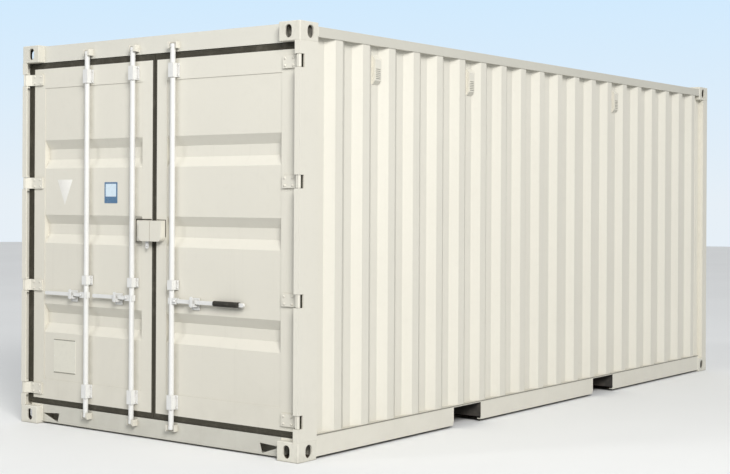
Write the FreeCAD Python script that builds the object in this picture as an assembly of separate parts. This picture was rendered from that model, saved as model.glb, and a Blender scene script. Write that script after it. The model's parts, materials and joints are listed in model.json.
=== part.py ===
"""Twenty-foot dry freight container with two hinged end doors, in millimetres.

X runs across the container, Y along it and Z up.  The origin is the middle of the base,
so the doors are at the -Y end and the blind end is at +Y.  The nodes of the right-hand
side (+X) are mirrored to the left where both sides are alike.
"""
import FreeCAD, Part
import math
import os

V = FreeCAD.Vector

# Overall size of the container and of its corner castings.
LENGTH = 6058.0
WIDTH = 2438.0
HEIGHT = 2591.0
CASTING_LENGTH = 178.0
CASTING_WIDTH = 162.0
CASTING_HEIGHT = 118.0
CASTING_OUTER_WALL = 16.0
CASTING_INNER_WALL = 10.0
CASTING_PLATE = 26.0
CASTING_EDGE_RADIUS = 6.0

# Holes of the castings: (length, width), and their middles from the outer faces.
END_HOLE = (79.5, 51.0)
SIDE_HOLE = (79.5, 63.5)
PLATE_HOLE = (124.0, 63.5)
HOLE_HEIGHT = 59.0
HOLE_FROM_SIDE = 89.0
HOLE_FROM_END = 101.5

SIDE = WIDTH / 2
END = LENGTH / 2
DOOR_END = -END

# Rails and sills.
RAIL_INSET = 4.0
BOTTOM_RAIL_FOOT = 18.0
BOTTOM_RAIL_TOP = 146.0
BOTTOM_RAIL_DEPTH = 48.0
BOTTOM_RAIL_FOOT_WIDTH = 30.0
TOP_RAIL_SIZE = 60.0
TOP_RAIL_WALL = 4.0
TOP_RAIL_TOP = 2568.0
SECTION_WALL = 5.0
DOOR_FACE = 50.0
SILL_FOOT = 13.0
SILL_TOP = 131.0
SILL_DEPTH = 100.0
SILL_WINDOW = ((885.0, 82.0), (1050.0, 72.0), (902.0, 20.0))
HEADER_FOOT = 2473.0
HEADER_TOP = 2585.0
HEADER_DEPTH = 90.0
END_RAIL_DEPTH = 60.0

# Side walls: upright corrugations pressed in steel sheet.
SHEET = 2.0
WALL_INSET = 8.0
WALL_DEPTH = 36.0
WALL_PITCH = 282.0
WALL_RIDGES = 20
WALL_SLOPE = 68.0
WALL_RIDGE_FACE = 72.0
WALL_FIRST = 290.0

# Blind end wall.
FRONT_DEPTH = 45.0
FRONT_PITCH = 250.0
FRONT_RIDGES = 8
FRONT_SLOPE = 18.0
FRONT_RIDGE_FACE = 110.0

# Roof sheet with pressed ridges.
ROOF_RIDGES = 27
ROOF_PITCH = 209.0
ROOF_RIDGE_HEIGHT = 15.0
ROOF_RIDGE_BASE = 127.0
ROOF_RIDGE_FACE = 91.0
ROOF_RIDGE_HALF_LENGTH = 1085.0
ROOF_SIDE_INSET = 10.0

# Floor and underframe.
FLOOR_TOP = 170.0
FLOOR_THICKNESS = 28.0
CROSS_MEMBER_WIDTH = 45.0
CROSS_MEMBER_FOOT = 20.0
CROSS_MEMBER_WALL = 4.5
CROSS_MEMBER_PLACES = 17
CROSS_MEMBER_START = 150.0
CROSS_MEMBER_END = 200.0
POCKET_SPACING = 2070.0
POCKET_SHIFT = -108.0
POCKET_WIDTH = 350.0
POCKET_FOOT = 36.0
POCKET_TOP = 135.0
POCKET_PLATE = 6.0

# Ventilators in the hollows of the side walls, counted in corrugations from the doors.
VENT_HOLLOWS = (1, 5, 13)
VENT_WIDTH = 66.0
VENT_DEPTH = 27.0
VENT_FOOT = 2266.0
VENT_TOP = 2452.0

# Door posts: a folded outer plate with a nose, and a box section behind it.
NOSE_WIDTH = 40.0
POST_PLATE = 10.0
POST_TUBE_FRONT = 75.0
POST_TUBE_INNER = 50.0
POST_TUBE_WALL = 6.0
POST_SLOT_DEPTH = 44.0
POST_CLEAR = POST_TUBE_INNER + 4.0

# Blind end posts.
BLIND_POST_SIZE = 92.0
BLIND_POST_INSET = 2.0
BLIND_POST_WALL = 6.0

# Door hinges.
PIN_INSET = 12.0
PIN_RADIUS = 6.5
BARREL_RADIUS = 10.5
HINGE_HEIGHTS = (238.0, 947.0, 1647.0, 2356.0)
HINGE_HEIGHT = 75.0
BLADE_THICKNESS = 12.0
BLADE_REACH = 150.0
LUG_THICKNESS = 12.0
LUG_GAP = 2.5
LUG_WIDTH = 22.0
LUG_DEPTH = 28.0
PIN_X = SIDE - PIN_INSET
PIN_Y = DOOR_END + PIN_INSET

# Door leaves.
LEAF_OUTER_EDGE = 71.0
LEAF_INNER_EDGE = 20.0
LEAF_THICKNESS = 50.0
LEAF_FOOT = 172.0
LEAF_TOP = 2430.0
STILE_OUTER = 105.0
STILE_INNER = 89.0
LEAF_RAIL_HEIGHT = 133.0
PANEL_INSET = 4.0
PANEL_GROOVE_DEPTH = 36.0
PANEL_GROOVE_SLOPE = 62.0
PANEL_GROOVE_FLAT = 70.0
PANEL_GROOVE_TOPS = (1940.0, 1431.0, 822.0)
LEAF_X0 = LEAF_INNER_EDGE
LEAF_X1 = SIDE - LEAF_OUTER_EDGE
LEAF_Y0 = DOOR_END + DOOR_FACE
LEAF_Y1 = LEAF_Y0 + LEAF_THICKNESS
PANEL_X0 = LEAF_X0 + STILE_INNER
PANEL_X1 = LEAF_X1 - STILE_OUTER
PANEL_Z0 = LEAF_FOOT + LEAF_RAIL_HEIGHT
PANEL_Z1 = LEAF_TOP - LEAF_RAIL_HEIGHT

# Rubber seals of the leaves: how far the base and the lip stand out past the leaf's edges.
GASKET_BASE = 6.0
GASKET_FRONT = 2.0
GASKET_LIP = 8.0
GASKET_REACH = {"outer": 55.0, "inner": 17.5, "top": 38.0, "foot": 36.0}

# Lock rods, their cams, keepers and guides.
ROD_X = {"outer_left": -600.0, "inner_left": -175.0, "inner_right": 180.0}
HANDLE_LENGTH = {"outer_left": 400.0, "inner_left": 360.0, "inner_right": 600.0}
ROD_RADIUS = 17.0
ROD_DEPTH = 24.0
ROD_Y = DOOR_END + ROD_DEPTH
ROD_FOOT = 88.0
ROD_TOP = 2522.0
CAM_REACH = 21.0
CAM_HEIGHT = 22.0
KEEPER_INNER = 27.0
KEEPER_OUTER = 33.0
KEEPER_LIP = 17.0
KEEPER_PLATE = 6.0
GUIDES = ((2355.0, 90.0), (1000.0, 60.0), (260.0, 90.0))
GUIDE_BLOCK = 21.0
GUIDE_PLATE = 37.0
HANDLE_HEIGHT = 900.0
HUB_HALF_HEIGHT = 19.0
HUB_HALF_DEPTH = 14.0
PIVOT_OFFSET = 36.0
PIVOT_RADIUS = 6.0
BAR_HALF_HEIGHT = 12.0
BAR_HALF_THICKNESS = 7.0
GRIP_OFFSET = 357.0
GRIP_LENGTH = 205.0
GRIP_RADIUS = 17.0
CATCH_DEPTH = 23.0
CATCH_DROP = 22.0
CATCH_LENGTH = 44.0
CATCH_PLATE = 4.0
CATCH_PIN_RADIUS = 4.0
RETAINER_OFFSET = {"outer_left": 135.0, "inner_left": 137.0, "inner_right": 185.0}

# Lock box over the gap between the doors.
LOCK_BOX_HALF_WIDTH = 98.0
LOCK_BOX_FOOT = 1271.0
LOCK_BOX_TOP = 1403.0
LOCK_BOX_GAP = 2.5
LOCK_BOX_PLATE = 5.0
LOCK_BOX_CORNER = 28.0
LOCK_BOX_BRACKET = (112.0, 150.0)


def box(x0, x1, y0, y1, z0, z1):
    """A block between two corners, given in any order along X."""
    low, high = min(x0, x1), max(x0, x1)
    return Part.makeBox(high - low, y1 - y0, z1 - z0, V(low, y0, z0))


def upright(points, z0, z1):
    """A prism standing on a plan outline."""
    wire = Part.makePolygon([V(x, y, z0) for x, y in points] + [V(points[0][0], points[0][1], z0)])
    return Part.Face(wire).extrude(V(0, 0, z1 - z0))


def crosswise(points, x0, x1):
    """A prism along X on an outline of (y, z) points."""
    wire = Part.makePolygon([V(x0, y, z) for y, z in points] + [V(x0, points[0][0], points[0][1])])
    return Part.Face(wire).extrude(V(x1 - x0, 0, 0))


def lengthwise(points, y0, y1):
    """A prism along Y on an outline of (x, z) points."""
    wire = Part.makePolygon([V(x, y0, z) for x, z in points] + [V(points[0][0], y0, points[0][1])])
    return Part.Face(wire).extrude(V(0, y1 - y0, 0))


def cylinder(radius, base, direction, length):
    return Part.makeCylinder(radius, length, base, direction)


def other_side(shape):
    """The same piece on the other side of the container."""
    return shape.mirror(V(0, 0, 0), V(1, 0, 0))


def blind_end(shape):
    """The same piece at the other end of the container."""
    return shape.mirror(V(0, 0, 0), V(0, 1, 0))


def fuse(shapes):
    joined = shapes[0].fuse(list(shapes[1:])) if len(shapes) > 1 else shapes[0]
    return joined.removeSplitter()


def save(node, solids):
    """Write one node; its solids don't touch each other."""
    shape = solids[0] if len(solids) == 1 else Part.makeCompound(solids)
    if not shape.isValid():
        raise ValueError("bad shape: " + node)
    shape.exportStep("parts/" + node + ".step")


# ---------------------------------------------------------------- corner castings

def slot_cutter(size, centre, along, through, depth):
    """An oval hole: its length runs along one direction and it is cut through another."""
    length, width = size
    half = (length - width) / 2
    start = centre - through * (depth / 2)
    ends = [cylinder(width / 2, start + along * (half * s), through, depth) for s in (-1, 1)]
    across = along.cross(through)
    corner = start - along * half - across * (width / 2)
    wire = Part.makePolygon([corner, corner + along * (2 * half),
                             corner + along * (2 * half) + across * width,
                             corner + across * width, corner])
    middle = Part.Face(wire).extrude(through * depth)
    return ends[0].fuse([ends[1], middle])


def casting(at_top):
    """The right-hand casting of the door end."""
    z0 = HEIGHT - CASTING_HEIGHT if at_top else 0.0
    z1 = z0 + CASTING_HEIGHT
    x0 = SIDE - CASTING_WIDTH
    y1 = DOOR_END + CASTING_LENGTH
    block = box(x0, SIDE, DOOR_END, y1, z0, z1)
    block = block.makeFillet(CASTING_EDGE_RADIUS, block.Edges)
    outer_wall, inner_wall, plate = CASTING_OUTER_WALL, CASTING_INNER_WALL, CASTING_PLATE
    floor_wall = inner_wall if at_top else plate
    roof_wall = plate if at_top else inner_wall
    cavity = box(x0 + inner_wall, SIDE - outer_wall, DOOR_END + outer_wall, y1 - inner_wall,
                 z0 + floor_wall, z1 - roof_wall)
    hole_z = z1 - HOLE_HEIGHT if at_top else z0 + HOLE_HEIGHT
    plate_z = z1 - plate / 2 if at_top else z0 + plate / 2
    hole_x = SIDE - HOLE_FROM_SIDE
    hole_y = DOOR_END + HOLE_FROM_END
    end_hole = slot_cutter(END_HOLE, V(hole_x, DOOR_END + outer_wall / 2, hole_z),
                           V(0, 0, 1), V(0, 1, 0), 2 * outer_wall)
    side_hole = slot_cutter(SIDE_HOLE, V(SIDE - outer_wall / 2, hole_y, hole_z),
                            V(0, 0, 1), V(1, 0, 0), 2 * outer_wall)
    plate_hole = slot_cutter(PLATE_HOLE, V(hole_x, hole_y, plate_z),
                             V(0, 1, 0), V(0, 0, 1), 2 * plate)
    return block.cut([cavity, end_hole, side_hole, plate_hole])


def castings():
    for level, at_top in (("bottom", False), ("top", True)):
        right = casting(at_top)
        save("door_end_" + level + "_castings", [right, other_side(right)])
        far = blind_end(right)
        save("blind_end_" + level + "_castings", [far, other_side(far)])


# ---------------------------------------------------------------- posts and rails

def door_post():
    """Right-hand door post; slots in its nose let the hinge blades swing to the side."""
    z0, z1 = CASTING_HEIGHT, HEIGHT - CASTING_HEIGHT
    side_plate = box(SIDE, SIDE - POST_PLATE, DOOR_END, DOOR_END + CASTING_LENGTH, z0, z1)
    nose = box(SIDE, SIDE - NOSE_WIDTH, DOOR_END, DOOR_END + POST_PLATE, z0, z1)
    tube = box(SIDE - POST_PLATE, SIDE - POST_TUBE_INNER,
               DOOR_END + POST_TUBE_FRONT, DOOR_END + CASTING_LENGTH, z0, z1)
    hollow = box(SIDE - POST_PLATE, SIDE - POST_TUBE_INNER + POST_TUBE_WALL,
                 DOOR_END + POST_TUBE_FRONT + POST_TUBE_WALL,
                 DOOR_END + CASTING_LENGTH - POST_TUBE_WALL, z0, z1)
    post = fuse([side_plate, nose, tube.cut(hollow)])
    half = HINGE_HEIGHT / 2 + LUG_GAP
    slots = [box(SIDE + 1, SIDE - NOSE_WIDTH - 1, DOOR_END - 1, DOOR_END + POST_SLOT_DEPTH,
                 z - half, z + half) for z in HINGE_HEIGHTS]
    return post.cut(slots)


def blind_post():
    """Right-hand post of the blind end: a box section with a flange for each wall."""
    z0, z1 = CASTING_HEIGHT, HEIGHT - CASTING_HEIGHT
    near, far, t = BLIND_POST_INSET, BLIND_POST_SIZE, BLIND_POST_WALL
    outer = box(SIDE - near, SIDE - far, END - far, END - near, z0, z1)
    tube = outer.cut(box(SIDE - near - t, SIDE - far + t, END - far + t, END - near - t, z0, z1))
    side_x = SIDE - WALL_INSET - WALL_DEPTH
    side_flange = box(side_x - t, side_x, END - CASTING_LENGTH, END - far, z0, z1)
    end_y = END - WALL_INSET - FRONT_DEPTH
    end_flange = box(SIDE - CASTING_WIDTH, SIDE - far, end_y - t, end_y, z0, z1)
    return fuse([tube, side_flange, end_flange])


def posts():
    right = door_post()
    save("right_door_post", [right])
    save("left_door_post", [other_side(right)])
    far = blind_post()
    save("blind_end_posts", [far, other_side(far)])


def pocket_places():
    return [POCKET_SHIFT - POCKET_SPACING / 2, POCKET_SHIFT + POCKET_SPACING / 2]


def side_rails():
    y0, y1 = DOOR_END + CASTING_LENGTH, END - CASTING_LENGTH
    x1 = SIDE - RAIL_INSET
    x0 = x1 - TOP_RAIL_SIZE
    z0 = TOP_RAIL_TOP - TOP_RAIL_SIZE
    wall = TOP_RAIL_WALL
    top = box(x0, x1, y0, y1, z0, TOP_RAIL_TOP)
    top = top.cut(box(x0 + wall, x1 - wall, y0, y1, z0 + wall, TOP_RAIL_TOP - wall))
    save("top_side_rails", [top, other_side(top)])
    low = x1 - BOTTOM_RAIL_DEPTH
    web = box(x1 - SECTION_WALL, x1, y0, y1, BOTTOM_RAIL_FOOT, BOTTOM_RAIL_TOP)
    head = box(low, x1, y0, y1, BOTTOM_RAIL_TOP - SECTION_WALL, BOTTOM_RAIL_TOP)
    foot = box(x1 - BOTTOM_RAIL_FOOT_WIDTH, x1, y0, y1, BOTTOM_RAIL_FOOT,
               BOTTOM_RAIL_FOOT + SECTION_WALL)
    half = POCKET_WIDTH / 2 + POCKET_PLATE
    holes = [box(low - 1, x1 + 1, y - half, y + half, 0, POCKET_TOP + POCKET_PLATE)
             for y in pocket_places()]
    rail = fuse([web, head, foot]).cut(holes)
    save("right_bottom_rail", [rail])
    save("left_bottom_rail", [other_side(rail)])


def end_rails():
    x1 = SIDE - CASTING_WIDTH
    y0 = DOOR_END + DOOR_FACE
    header = box(-x1, x1, y0, y0 + HEADER_DEPTH, HEADER_FOOT, HEADER_TOP)
    header = header.cut(box(-x1, x1, y0 + SECTION_WALL, y0 + HEADER_DEPTH - SECTION_WALL,
                            HEADER_FOOT + SECTION_WALL, HEADER_TOP - SECTION_WALL))
    save("door_header", [header])
    sill = box(-x1, x1, y0, y0 + SILL_DEPTH, SILL_FOOT, SILL_TOP)
    sill = sill.cut(box(-x1, x1, y0 + SECTION_WALL, y0 + SILL_DEPTH - SECTION_WALL,
                        SILL_FOOT + SECTION_WALL, SILL_TOP - SECTION_WALL))
    window = lengthwise(SILL_WINDOW, y0 - 1, y0 + SECTION_WALL)
    save("door_sill", [sill.cut([window, other_side(window)])])
    plate = box(x1, SIDE - POST_CLEAR, y0, y0 + SILL_DEPTH, CASTING_HEIGHT, SILL_TOP)
    save("sill_end_plates", [plate, other_side(plate)])
    y1 = END - RAIL_INSET
    y2 = y1 - TOP_RAIL_SIZE
    z0, wall = TOP_RAIL_TOP - TOP_RAIL_SIZE, TOP_RAIL_WALL
    rail = box(-x1, x1, y2, y1, z0, TOP_RAIL_TOP)
    rail = rail.cut(box(-x1, x1, y2 + wall, y1 - wall, z0 + wall, TOP_RAIL_TOP - wall))
    save("blind_end_top_rail", [rail])
    web = box(-x1, x1, y1 - SECTION_WALL, y1, SILL_FOOT, BOTTOM_RAIL_TOP)
    y2 = y1 - END_RAIL_DEPTH
    head = box(-x1, x1, y2, y1, BOTTOM_RAIL_TOP - SECTION_WALL, BOTTOM_RAIL_TOP)
    foot = box(-x1, x1, y2, y1, SILL_FOOT, SILL_FOOT + SECTION_WALL)
    save("blind_end_bottom_rail", [fuse([web, head, foot])])


# ---------------------------------------------------------------- walls, roof and floor

def corrugation(start, end, first, pitch, count, slope, face, depth):
    """The line of a corrugated sheet as (distance along, height of the ridge) points."""
    line = [(start, 0.0)]
    for i in range(count):
        t = first + i * pitch
        line += [(t, 0.0), (t + slope, depth), (t + slope + face, depth), (t + 2 * slope + face, 0.0)]
    return line + [(end, 0.0)]


def walls():
    z0, z1 = BOTTOM_RAIL_TOP, TOP_RAIL_TOP - TOP_RAIL_SIZE
    line = corrugation(DOOR_END + CASTING_LENGTH, END - CASTING_LENGTH, DOOR_END + WALL_FIRST,
                       WALL_PITCH, WALL_RIDGES, WALL_SLOPE, WALL_RIDGE_FACE, WALL_DEPTH)
    x = SIDE - WALL_INSET - WALL_DEPTH
    outline = [(x + h, y) for y, h in line] + [(x + h - SHEET, y) for y, h in reversed(line)]
    right = upright(outline, z0, z1)
    save("right_side_wall", [right])
    save("left_side_wall", [other_side(right)])
    reach = SIDE - CASTING_WIDTH
    first = -(FRONT_RIDGES - 1) * FRONT_PITCH / 2 - FRONT_RIDGE_FACE / 2 - FRONT_SLOPE
    line = corrugation(-reach, reach, first, FRONT_PITCH, FRONT_RIDGES, FRONT_SLOPE,
                       FRONT_RIDGE_FACE, FRONT_DEPTH)
    y = END - WALL_INSET - FRONT_DEPTH
    outline = [(t, y + h) for t, h in line] + [(t, y + h - SHEET) for t, h in reversed(line)]
    save("blind_end_wall", [upright(outline, z0, z1)])


def vents():
    """Covers of the ventilators, with sloping heads and feet."""
    x = SIDE - WALL_INSET - WALL_DEPTH
    hollow_start = DOOR_END + WALL_FIRST + 2 * WALL_SLOPE + WALL_RIDGE_FACE
    hollow_width = WALL_PITCH - 2 * WALL_SLOPE - WALL_RIDGE_FACE
    covers = []
    for count in VENT_HOLLOWS:
        middle = hollow_start + count * WALL_PITCH + hollow_width / 2
        outline = [(x, VENT_FOOT), (x + VENT_DEPTH, VENT_FOOT + VENT_DEPTH),
                   (x + VENT_DEPTH, VENT_TOP - VENT_DEPTH), (x, VENT_TOP)]
        covers.append(lengthwise(outline, middle - VENT_WIDTH / 2, middle + VENT_WIDTH / 2))
    save("side_vents", covers + [other_side(cover) for cover in covers])


def roof_ridge(y, lift):
    """A solid ridge of the roof; lift lowers it by the sheet's thickness for the hollow."""
    z0 = TOP_RAIL_TOP + SHEET - lift
    z1 = z0 + ROOF_RIDGE_HEIGHT
    half = ROOF_RIDGE_HALF_LENGTH
    foot, face = ROOF_RIDGE_BASE / 2, ROOF_RIDGE_FACE / 2
    inset = foot - face
    low = Part.makePolygon([V(-half, y - foot, z0), V(half, y - foot, z0), V(half, y + foot, z0),
                            V(-half, y + foot, z0), V(-half, y - foot, z0)])
    top = half - inset
    high = Part.makePolygon([V(-top, y - face, z1), V(top, y - face, z1), V(top, y + face, z1),
                             V(-top, y + face, z1), V(-top, y - face, z1)])
    return Part.makeLoft([low, high], True, True)


def roof():
    y0 = DOOR_END + DOOR_FACE + HEADER_DEPTH
    y1 = END - RAIL_INSET - TOP_RAIL_SIZE
    x1 = SIDE - ROOF_SIDE_INSET
    narrow = SIDE - CASTING_WIDTH
    z0, z1 = TOP_RAIL_TOP, TOP_RAIL_TOP + SHEET
    middle_sheet = box(-x1, x1, DOOR_END + CASTING_LENGTH, END - CASTING_LENGTH, z0, z1)
    door_strip = box(-narrow, narrow, y0, DOOR_END + CASTING_LENGTH, z0, z1)
    blind_strip = box(-narrow, narrow, END - CASTING_LENGTH, END - RAIL_INSET, z0, z1)
    middle = (y0 + y1) / 2
    places = [middle + (i - (ROOF_RIDGES - 1) / 2) * ROOF_PITCH for i in range(ROOF_RIDGES)]
    ridges = [roof_ridge(y, 0.0) for y in places]
    hollows = [roof_ridge(y, SHEET) for y in places]
    save("roof", [fuse([middle_sheet] + ridges).cut(hollows)])
    save("roof_end_plates", [door_strip, blind_strip])


def floor():
    y0 = DOOR_END + DOOR_FACE + SILL_DEPTH
    y1 = END - RAIL_INSET - END_RAIL_DEPTH
    x1 = SIDE - RAIL_INSET - BOTTOM_RAIL_DEPTH
    z0 = FLOOR_TOP - FLOOR_THICKNESS
    boards = box(-x1, x1, y0, y1, z0, FLOOR_TOP)
    gap = 4.0
    corners = [box(s * (SIDE - POST_CLEAR), s * SIDE, y0, DOOR_END + CASTING_LENGTH + gap,
                   z0, FLOOR_TOP) for s in (-1, 1)]
    reach = BLIND_POST_SIZE + gap
    corners += [box(s * (SIDE - reach), s * SIDE, END - reach, y1, z0, FLOOR_TOP)
                for s in (-1, 1)]
    save("floor", [boards.cut(corners)])
    members = []
    clear = POCKET_WIDTH / 2 + 2 * POCKET_PLATE + CROSS_MEMBER_WIDTH
    pitch = (y1 - y0 - CROSS_MEMBER_START - CROSS_MEMBER_END) / (CROSS_MEMBER_PLACES - 1)
    for i in range(CROSS_MEMBER_PLACES):
        y = y0 + CROSS_MEMBER_START + i * pitch
        if min(abs(y - place) for place in pocket_places()) < clear:
            continue
        members.append(cross_member(y, x1))
    save("cross_members", members)
    save("fork_pockets", [fork_pocket(y) for y in pocket_places()])


def cross_member(y, reach):
    """A channel across the underframe."""
    z0, z1 = CROSS_MEMBER_FOOT, FLOOR_TOP - FLOOR_THICKNESS
    w, t = CROSS_MEMBER_WIDTH, CROSS_MEMBER_WALL
    outline = [(y, z0), (y + w, z0), (y + w, z0 + t), (y + t, z0 + t), (y + t, z1 - t),
               (y + w, z1 - t), (y + w, z1), (y, z1)]
    return crosswise(outline, -reach, reach)


def fork_pocket(y):
    """A channel from side to side, open below."""
    reach = SIDE - RAIL_INSET
    half, t = POCKET_WIDTH / 2, POCKET_PLATE
    z1 = POCKET_TOP + t
    whole = box(-reach, reach, y - half - t, y + half + t, POCKET_FOOT, z1)
    return whole.cut(box(-reach, reach, y - half, y + half, POCKET_FOOT, POCKET_TOP))


# ---------------------------------------------------------------- hinges

def hinge_lug(z):
    """Two plates in the fold of the right-hand post and the pin between them."""
    half = HINGE_HEIGHT / 2 + LUG_GAP
    x0, y0 = SIDE - POST_PLATE, DOOR_END + POST_PLATE
    plates = [box(x0, x0 - LUG_WIDTH, y0, y0 + LUG_DEPTH, z + s, z + s + LUG_THICKNESS)
              for s in (-half - LUG_THICKNESS, half)]
    pin = cylinder(PIN_RADIUS, V(PIN_X, PIN_Y, z - half), V(0, 0, 1), 2 * half)
    return fuse(plates + [pin])


def hinge_blade(z):
    """The right-hand door's blade: a barrel on the pin and a strap on the leaf's face."""
    z0, z1 = z - HINGE_HEIGHT / 2, z + HINGE_HEIGHT / 2
    face = DOOR_FACE - PIN_INSET
    front = face - BLADE_THICKNESS
    outline = [(0, -8), (16, -8), (30, 14), (42, front), (BLADE_REACH, front), (BLADE_REACH, face),
               (34, face), (12, 8), (0, 8)]
    strap = upright([(PIN_X - along, PIN_Y + deep) for along, deep in outline], z0, z1)
    barrel = cylinder(BARREL_RADIUS, V(PIN_X, PIN_Y, z0), V(0, 0, 1), HINGE_HEIGHT)
    bore = cylinder(PIN_RADIUS + 0.5, V(PIN_X, PIN_Y, z0), V(0, 0, 1), HINGE_HEIGHT)
    return fuse([strap, barrel]).cut(bore)


def hinges():
    lugs = [hinge_lug(z) for z in HINGE_HEIGHTS]
    save("hinge_lugs", lugs + [other_side(lug) for lug in lugs])
    blades = [hinge_blade(z) for z in HINGE_HEIGHTS]
    save("right_door_hinges", blades)
    save("left_door_hinges", [other_side(blade) for blade in blades])


# ---------------------------------------------------------------- door leaves

def leaf_frame():
    whole = box(LEAF_X0, LEAF_X1, LEAF_Y0, LEAF_Y1, LEAF_FOOT, LEAF_TOP)
    opening = box(PANEL_X0, PANEL_X1, LEAF_Y0 - 1, LEAF_Y1 + 1, PANEL_Z0, PANEL_Z1)
    return whole.cut(opening)


def leaf_panel():
    """Steel sheet with three pressed grooves across it."""
    y = LEAF_Y0 + PANEL_INSET
    line = [(y, PANEL_Z1)]
    for top in PANEL_GROOVE_TOPS:
        deep = y + PANEL_GROOVE_DEPTH
        line += [(y, top), (deep, top - PANEL_GROOVE_SLOPE),
                 (deep, top - PANEL_GROOVE_SLOPE - PANEL_GROOVE_FLAT),
                 (y, top - 2 * PANEL_GROOVE_SLOPE - PANEL_GROOVE_FLAT)]
    line.append((y, PANEL_Z0))
    outline = line + [(a + SHEET, z) for a, z in reversed(line)]
    return crosswise(outline, PANEL_X0, PANEL_X1)


def leaf_gasket():
    """A rubber seal round the leaf's edge: a flat base and a lip that stands out from it."""
    lip_y0 = LEAF_Y0 + GASKET_FRONT
    lip_y1 = lip_y0 + GASKET_LIP
    reach = GASKET_REACH
    lip = box(LEAF_X0 - reach["inner"], LEAF_X1 + reach["outer"], lip_y0, lip_y1,
              LEAF_FOOT - reach["foot"], LEAF_TOP + reach["top"])
    lip = lip.cut(box(LEAF_X0, LEAF_X1, lip_y0, lip_y1, LEAF_FOOT, LEAF_TOP))
    base = box(LEAF_X0 - GASKET_BASE, LEAF_X1 + GASKET_BASE, LEAF_Y0 + 4, LEAF_Y1 - 8,
               LEAF_FOOT - GASKET_BASE, LEAF_TOP + GASKET_BASE)
    base = base.cut(box(LEAF_X0, LEAF_X1, LEAF_Y0, LEAF_Y1, LEAF_FOOT, LEAF_TOP))
    return fuse([lip, base])


def leaves():
    frame, panel, gasket = leaf_frame(), leaf_panel(), leaf_gasket()
    for node, piece in (("frame", frame), ("panel", panel), ("gasket", gasket)):
        save("right_door_" + node, [piece])
        save("left_door_" + node, [other_side(piece)])


# ---------------------------------------------------------------- lock rods

def toward_handle(name):
    """-1 where the handle is stowed to the left of its rod, 1 where to the right."""
    return 1 if name == "inner_right" else -1


def keeper(x, side, z0, z1, bridge_z):
    """The forging that holds a cam: two walls, a bridge past the rod's end and a hooked lip."""
    y1 = LEAF_Y0
    lip_y = ROD_Y - 18.0
    low, high = min(z0, bridge_z), max(z1, bridge_z + KEEPER_PLATE)
    cheeks = [box(x + s * KEEPER_INNER, x + s * KEEPER_OUTER, lip_y if s == side else ROD_Y - 6,
                  y1, low, high) for s in (-1, 1)]
    lip = box(x + side * KEEPER_LIP, x + side * KEEPER_OUTER, lip_y, lip_y + KEEPER_PLATE, z0, z1)
    bridge = box(x - KEEPER_OUTER, x + KEEPER_OUTER, ROD_Y + 4, y1, bridge_z,
                 bridge_z + KEEPER_PLATE)
    return fuse(cheeks + [lip, bridge])


def cam(x, side, z0):
    """A lobe that turns behind the keeper's lip."""
    lobe = box(x, x + side * CAM_REACH, ROD_Y - 8, ROD_Y + 8, z0, z0 + CAM_HEIGHT)
    collar = cylinder(ROD_RADIUS + 1.5, V(x, ROD_Y, z0), V(0, 0, 1), CAM_HEIGHT)
    sweep = cylinder(CAM_REACH, V(x, ROD_Y, z0), V(0, 0, 1), CAM_HEIGHT)
    return fuse([lobe.common(sweep), collar])


def lock_rod(x, side):
    """A tube with a cam at each end and the handle's hub."""
    tube = cylinder(ROD_RADIUS, V(x, ROD_Y, ROD_FOOT), V(0, 0, 1), ROD_TOP - ROD_FOOT)
    cams = [cam(x, -side, ROD_FOOT + 2), cam(x, -side, ROD_TOP - CAM_HEIGHT - 2)]
    z0, z1 = HANDLE_HEIGHT - HUB_HALF_HEIGHT, HANDLE_HEIGHT + HUB_HALF_HEIGHT
    y0, y1 = ROD_Y - HUB_HALF_DEPTH, ROD_Y + HUB_HALF_DEPTH
    cheek = 5.0
    hub = box(x - side * 19, x + side * 50, y0, y1, z0, z1)
    fork = box(x + side * 20, x + side * 51, y0 + cheek, y1 - cheek, z0 - 1, z1 + 1)
    pin = cylinder(PIVOT_RADIUS, V(x + side * PIVOT_OFFSET, y0, HANDLE_HEIGHT), V(0, 1, 0), y1 - y0)
    return fuse([tube] + cams + [hub.cut(fork), pin])


def handle(x, side, length):
    """A flat bar that pivots on the hub."""
    y0, y1 = ROD_Y - BAR_HALF_THICKNESS, ROD_Y + BAR_HALF_THICKNESS
    pivot = x + side * PIVOT_OFFSET
    z0, z1 = HANDLE_HEIGHT - BAR_HALF_HEIGHT, HANDLE_HEIGHT + BAR_HALF_HEIGHT
    tip_x = x + side * (length - BAR_HALF_HEIGHT)
    bar = box(pivot, tip_x, y0, y1, z0, z1)
    root = cylinder(BAR_HALF_HEIGHT, V(pivot, y0, HANDLE_HEIGHT), V(0, 1, 0), y1 - y0)
    tip = cylinder(BAR_HALF_HEIGHT, V(tip_x, y0, HANDLE_HEIGHT), V(0, 1, 0), y1 - y0)
    bore = cylinder(PIVOT_RADIUS + 0.4, V(pivot, y0, HANDLE_HEIGHT), V(0, 1, 0), y1 - y0)
    return fuse([bar, root, tip]).cut(bore)


def handle_grip(bar):
    """A rubber sleeve on the long handle."""
    x0 = ROD_X["inner_right"] + GRIP_OFFSET
    sleeve = cylinder(GRIP_RADIUS, V(x0, ROD_Y, HANDLE_HEIGHT), V(1, 0, 0), GRIP_LENGTH)
    return sleeve.cut(bar)


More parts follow.
